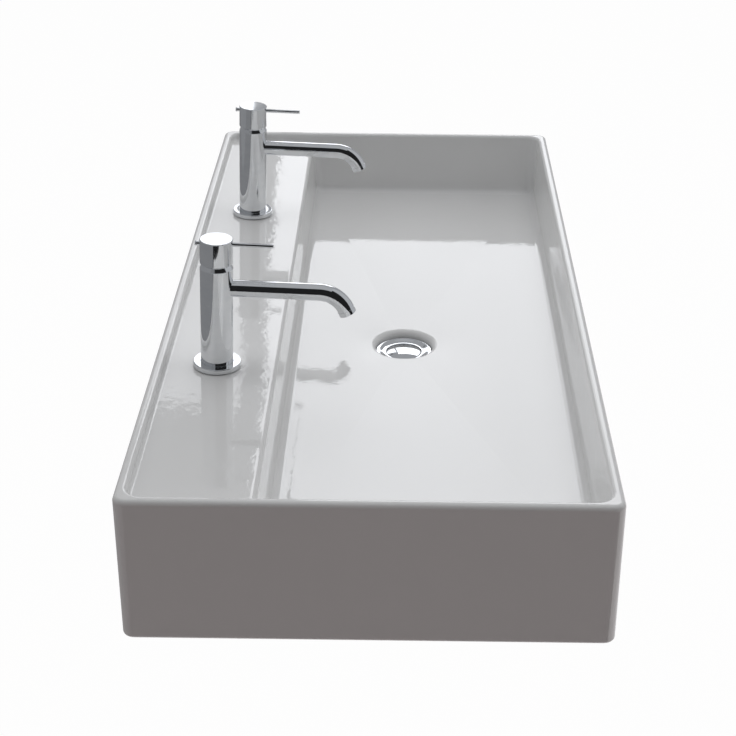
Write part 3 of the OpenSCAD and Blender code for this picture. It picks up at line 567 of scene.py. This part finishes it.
def undersideTool():  # the hollow below the bowl and the ledge
    u, b = underside, basin
    halfX, halfY = b["length"] / 2 - u["skirt"], b["width"] / 2 - u["skirt"]
    tool = newPiece("undersideHollow", bpy.ops.mesh.primitive_cube_add, size=1,
                    location=(0, 0, u["ceiling"] / 2 - u["spare"]),
                    scale=(2 * halfX, 2 * halfY, u["ceiling"] + 2 * u["spare"]))
    applyPlace(tool)
    openEdit(tool, "EDGE")
    pick(tool, "edges", lambda e: abs(e.verts[0].co.z - e.verts[1].co.z) > 0.01)
    bpy.ops.mesh.bevel(offset=u["corner"], segments=8)
    bpy.ops.mesh.select_all(action="SELECT")
    bpy.ops.mesh.bisect(plane_co=(0, u["backFace"] - u["ramp"], 0), plane_no=(0, 1, 0))
    bpy.ops.mesh.select_mode(type="FACE")
    pick(tool, "faces", lambda f: f.normal.z > 0.9 and middle(f).y > u["backFace"] - u["ramp"])
    bpy.ops.mesh.extrude_region_move()
    mesh = bmesh.from_edit_mesh(tool.data)
    for vertex in mesh.verts:
        if vertex.select:
            if vertex.co.y < u["backFace"]:
                vertex.co.y = u["backFace"]
            vertex.co.z = ledgeAt(vertex.co.y) - u["ledgeThick"]
    bmesh.update_edit_mesh(tool.data)
    closeEdit()
    cut(tool, cylinderTool(u["bossRadius"], (0, b["wasteY"], u["bossBottom"]),
                           (0, b["wasteY"], u["bossTop"])))
    for side in sides.values():
        rib = newPiece("ribTool", bpy.ops.mesh.primitive_cube_add, size=1,
                       location=(side * u["ribX"], 0, u["ribBottom"] + u["ribHeight"] / 2),
                       scale=(u["ribThick"], u["ribLength"], u["ribHeight"]))
        applyPlace(rib)
        cut(tool, rib)
        padX = side * b["boltX"]
        cut(tool, cylinderTool(u["padRadius"], (padX, halfY - u["padThick"], b["boltZ"]),
                               (padX, halfY + u["spare"], b["boltZ"])))
    softEdges(tool, u["fillet"], 3, 45)
    tool.data.materials.append(bisque)
    return tool


def makeBasin():
    b = basin
    body = ringSolid("basinSkin", basinRings())
    body.data.materials.append(glaze)
    cut(body, undersideTool())
    for side in sides.values():
        axis = Matrix.Rotation(math.radians(b["ledgeSlope"]), 3, "X") @ Vector((0, 0, b["holeCut"]))
        tap = Vector((side * b["tapX"], b["tapY"], b["ledge"]))
        cut(body, cylinderTool(b["tapHole"], tap - axis, tap + axis))
        boltEnds = [(side * b["boltX"], y, b["boltZ"]) for y in b["boltCut"]]
        cut(body, cylinderTool(b["boltHole"], *boltEnds))
    applyPlace(body, toWall)
    smooth(body, 30)
    finished(body, "basin", None, ["basin"])


makeBasin()
print("basin ready")


# Taps, each piece upright on its own origin, then set on the sloping ledge at both sides
tap = {"radius": 0.017, "bodyTop": 0.112, "footRadius": 0.0195, "footTop": 0.003, "bore": 0.013,
       "boreBottom": 0.080, "inletX": 0.007, "inletY": -0.004, "inletRadius": 0.0045,
       "inletTop": 0.015, "studY": 0.008, "studRadius": 0.004, "studTop": 0.013, "edge": 0.0004,
       "bottom": 0.001, "below": -0.01}
flange = {"radius": 0.025, "inner": 0.0171, "bottom": 0.001, "top": 0.006, "round": 0.001,
          "gap": 0.0001, "edge": 0.0003}
spout = {"radius": 0.009, "wall": 0.0015, "start": 0.0135, "z": 0.089, "bendStart": 0.10479,
         "bendRadius": 0.031, "bend": 65, "end": 0.005, "sleeve": 0.00015, "step": 0.0001,
         "edge": 0.0003, "steps": 26}
dome = {"radius": 0.0179, "pivot": 0.106, "bottom": 0.112, "hole": 0.010, "wall": 0.0014,
        "bore": 0.0116}
handle = {"radius": 0.017, "bottom": 0.1175, "top": 0.143, "chamfer": 0.0008, "edge": 0.0003,
          "hollow": 0.015, "hollowTop": 0.1265, "socket": 0.004, "socketTop": 0.1335,
          "across": 0.03, "leverZ": 0.1375, "leverRadius": 0.0022, "leverGap": 0.00005,
          "leverReach": 0.058, "leverRound": 0.0012, "knobRadius": 0.0027,
          "knobLength": 0.0046, "knobRound": 0.0005, "knobWaist": 0.0004,
          "grubZ": 0.130, "grubRadius": 0.00205}
ledgeTilt = Matrix.Rotation(math.radians(basin["ledgeSlope"]), 4, "X")
tapPlaces = {side: toWall @ Matrix.Translation((way * basin["tapX"], basin["tapY"], basin["ledge"]))
             @ ledgeTilt for side, way in sides.items()}


def onBothTaps(piece, node, body, material):
    for side in sides:
        twin = copyOf(piece, side + "Tap" + node.title().replace("_", ""))
        applyPlace(twin, tapPlaces[side])
        finished(twin, body.format(side), material, [side + "_tap_" + node])
    bpy.data.objects.remove(piece)


def makeFlange():
    f, t = flange, tap
    stepX, stepZ = t["footRadius"] + f["gap"], t["footTop"] + f["gap"]
    profile = [(f["inner"], stepZ), (stepX, stepZ), (stepX, f["bottom"]),
               (f["radius"], f["bottom"]),
               *arc(f["radius"] - f["round"], f["top"] - f["round"], f["round"], 0, 90, 12),
               (f["inner"] + f["edge"], f["top"]), (f["inner"], f["top"] - f["edge"])]
    ring = turned("flange", profile, 128)
    smooth(ring, 50)
    onBothTaps(ring, "base_flange", "basin", chrome)


def makeBody():
    t = tap
    profile = [(0, t["bottom"]), (t["footRadius"], t["bottom"]), (t["footRadius"], t["footTop"]),
               (t["radius"], t["footTop"]), (t["radius"], t["bodyTop"] - t["edge"]),
               (t["radius"] - t["edge"], t["bodyTop"]), (t["bore"], t["bodyTop"]),
               (t["bore"], t["boreBottom"]), (0, t["boreBottom"])]
    column = turned("column", profile, 128)
    for way in (-1, 1):
        inletEnds = [(way * t["inletX"], t["inletY"], z) for z in (t["below"], t["inletTop"])]
        cut(column, cylinderTool(t["inletRadius"], *inletEnds))
    studEnds = [(0, t["studY"], z) for z in (t["below"], t["studTop"])]
    cut(column, cylinderTool(t["studRadius"], *studEnds))
    smooth(column, 40)
    onBothTaps(column, "body", "basin", chrome)


def makeSpout():
    s = spout
    tube = newPiece("tube", bpy.ops.mesh.primitive_circle_add, vertices=64, radius=s["radius"],
                    fill_type="NOTHING", location=(0, -s["start"], s["z"]),
                    rotation=(math.pi / 2, 0, 0))
    applyPlace(tube)
    openEdit(tube)
    bpy.ops.mesh.select_all(action="SELECT")
    straight = (0, s["start"] - s["bendStart"], 0)
    bpy.ops.mesh.extrude_region_move(TRANSFORM_OT_translate={"value": straight})
    bend = math.radians(s["bend"])
    centre = Vector((0, -s["bendStart"], s["z"] - s["bendRadius"]))
    bpy.ops.mesh.spin(steps=s["steps"], angle=-bend, center=centre, axis=(1, 0, 0))
    along = Vector((0, -math.cos(bend), -math.sin(bend)))
    tip = centre + s["bendRadius"] * Vector((0, -math.sin(bend), math.cos(bend)))
    pick(tube, "verts", lambda v: abs((v.co - tip).dot(along)) < 0.00001 and v.co.y < centre.y)
    for step, grow in ((s["step"], 1 + s["sleeve"] / s["radius"]), (s["end"] - s["step"], 1)):
        bpy.ops.mesh.extrude_region_move(TRANSFORM_OT_translate={"value": along * step})
        tip = tip + along * step
        if grow != 1:
            mesh = bmesh.from_edit_mesh(tube.data)
            for vertex in mesh.verts:
                if vertex.select:
                    vertex.co = tip + (vertex.co - tip) * grow
            bmesh.update_edit_mesh(tube.data)
    closeEdit()
    cleanNormals(tube)
    applyModifier(tube, "SOLIDIFY", thickness=s["wall"], offset=-1, use_rim=True)
    softEdges(tube, s["edge"], 3, 60)
    smooth(tube, 40)
    onBothTaps(tube, "spout", "basin", chrome)


def makeDome():
    d = dome
    rise, inner = d["bottom"] - d["pivot"], d["radius"] - d["wall"]
    low = math.degrees(math.asin(rise / d["radius"]))
    high = math.degrees(math.acos(d["hole"] / d["radius"]))
    innerLow = math.degrees(math.asin((rise + d["wall"]) / inner))
    innerHigh = math.degrees(math.acos(d["hole"] / inner))
    shell = turned("shell", [*arc(0, d["pivot"], d["radius"], low, high, 14),
                             *arc(0, d["pivot"], inner, innerHigh, innerLow, 12),
                             (d["bore"], d["bottom"] + d["wall"]), (d["bore"], d["bottom"])], 128)
    smooth(shell, 40)
    onBothTaps(shell, "neck_dome", "basin", chrome)


def makeHandle():
    h = handle
    profile = [(0, h["top"]), (h["radius"] - h["chamfer"], h["top"]),
               (h["radius"], h["top"] - h["chamfer"]), (h["radius"], h["bottom"] + h["edge"]),
               (h["radius"] - h["edge"], h["bottom"]), (h["hollow"], h["bottom"]),
               (h["hollow"], h["hollowTop"]), (h["socket"], h["hollowTop"]),
               (h["socket"], h["socketTop"]), (0, h["socketTop"])]
    cap = turned("cap", profile, 128)
    leverEnds = [(0, y, h["leverZ"]) for y in (-h["across"], h["across"])]
    cut(cap, cylinderTool(h["leverRadius"] + h["leverGap"], *leverEnds))
    cut(cap, cylinderTool(h["grubRadius"], (0, 0, h["grubZ"]), (0, h["across"], h["grubZ"])))
    smooth(cap, 30)
    onBothTaps(cap, "handle_cap", "{}_handle", chrome)
    toCapBack = Matrix.Translation((0, h["radius"], h["leverZ"]))
    radius, soft, length = h["leverRadius"], h["leverRound"], h["radius"] + h["leverReach"]
    rod = turned("rod", [(0, 0), (radius, 0), (radius, length - soft),
                         *arc(radius - soft, length - soft, soft, 0, 90, 6)[1:], (0, length)], 48)
    applyPlace(rod, toCapBack @ Matrix.Rotation(math.pi / 2, 4, "X"))
    smooth(rod, 50)
    onBothTaps(rod, "lever", "{}_handle", chrome)
    radius, soft, length = h["knobRadius"], h["knobRound"], h["knobLength"]
    knob = turned("knob", [(0, 0), (radius - soft, 0), (radius - h["knobWaist"], length * 0.6),
                           (radius, length * 0.7), (radius, length - soft),
                           *arc(radius - soft, length - soft, soft, 0, 90, 4)[1:],
                           (0, length)], 48)
    applyPlace(knob, toCapBack @ Matrix.Rotation(-math.pi / 2, 4, "X"))
    smooth(knob, 40)
    onBothTaps(knob, "lever_end", "{}_handle", chrome)


makeFlange()
makeBody()
makeSpout()
makeDome()
makeHandle()
print("taps ready")


# Waste, with its levels above the basin's foot
waste = {"flange": 0.033, "flangeTop": 0.0525, "flangeUnder": 0.0487, "flangeRound": 0.001,
         "lip": 0.0025, "dish": 0.0024, "throat": 0.0215, "plugSeat": 0.0468, "collar": 0.0225,
         "collarBottom": 0.0427, "tail": 0.02095, "bore": 0.0175, "tailBottom": -0.0233,
         "tailEdge": 0.0006, "grooveTop": 0.0047, "grooveBottom": 0.0007, "groove": 0.01955}
plug = {"radius": 0.021, "bottom": 0.0479, "edge": 0.0490, "crown": 0.0027, "rim": 0.0006,
        "bevel": 0.0004, "sleeve": 0.006, "stem": 0.0035, "sleeveBottom": 0.0447}
toWaste = toWall @ Matrix.Translation((0, basin["wasteY"], 0))


def makeWaste():
    w, p = waste, plug
    lip, soft = w["flange"] - w["lip"], w["flangeRound"]
    bowlCurve = [(lip + (w["throat"] - lip) * t,
                  w["flangeTop"] - w["dish"] * math.sin(math.pi / 2 * t) ** 1.4)
                 for t in (i / 12 for i in range(13))]
    profile = [(w["bore"], w["tailBottom"]), (w["tail"] - w["tailEdge"], w["tailBottom"]),
               (w["tail"], w["tailBottom"] + w["tailEdge"]), (w["tail"], w["grooveBottom"]),
               (w["groove"], w["grooveBottom"]), (w["groove"], w["grooveTop"]),
               (w["tail"], w["grooveTop"]), (w["tail"], w["collarBottom"]),
               (w["collar"], w["collarBottom"]), (w["collar"], w["flangeUnder"]),
               (w["flange"], w["flangeUnder"]), (w["flange"], w["flangeTop"] - soft),
               *arc(w["flange"] - soft, w["flangeTop"] - soft, soft, 0, 90, 5)[1:],
               *bowlCurve, (w["throat"], w["plugSeat"]), (w["bore"], w["plugSeat"])]
    ring = turned("wasteFlange", profile, 128)
    applyPlace(ring, toWaste)
    smooth(ring, 35)
    finished(ring, "basin", chrome, ["waste_body"])
    crownRadius = (p["radius"] ** 2 + p["crown"] ** 2) / (2 * p["crown"])
    reach = math.degrees(math.asin((p["radius"] - p["rim"]) / crownRadius))
    centre = p["edge"] + p["crown"] - crownRadius
    profile = [*arc(0, centre, crownRadius, 90, 90 - reach, 10),
               (p["radius"], p["edge"] - p["bevel"]), (p["radius"], p["bottom"]),
               (p["sleeve"], p["bottom"]), (p["sleeve"], p["sleeveBottom"]),
               (p["stem"], p["sleeveBottom"]), (p["stem"], p["bottom"]), (0, p["bottom"])]
    disc = turned("wastePlug", profile, 128)
    applyPlace(disc, toWaste)
    smooth(disc, 35)
    finished(disc, "waste_plug", chrome, ["plug"])


makeWaste()
print("waste ready")


# Small fittings keep their frame nodes and get their own finishes
fittings = {"base_seal": rubber, "aerator": plastic, "cartridge": plastic, "cartridge_nut": brass,
            "carrier": plastic, "pivot_pin": zinc, "spindle": zinc, "grub_screw": zinc,
            "fixing_stud": threaded, "horseshoe_gasket": rubber, "horseshoe_washer": zinc,
            "fixing_nut": brass, "waste_top_seal": rubber, "waste_bottom_seal": rubber,
            "waste_washer": plastic, "waste_nut": brass, "waste_spider": zinc,
            "plug_seal": rubber, "plug_stem": zinc}
for name, node in nodes.items():
    finish = fittings.get(name.split("_tap_")[-1])
    if finish:
        node.data.materials.clear()
        node.data.materials.append(finish)
print("fittings finished")
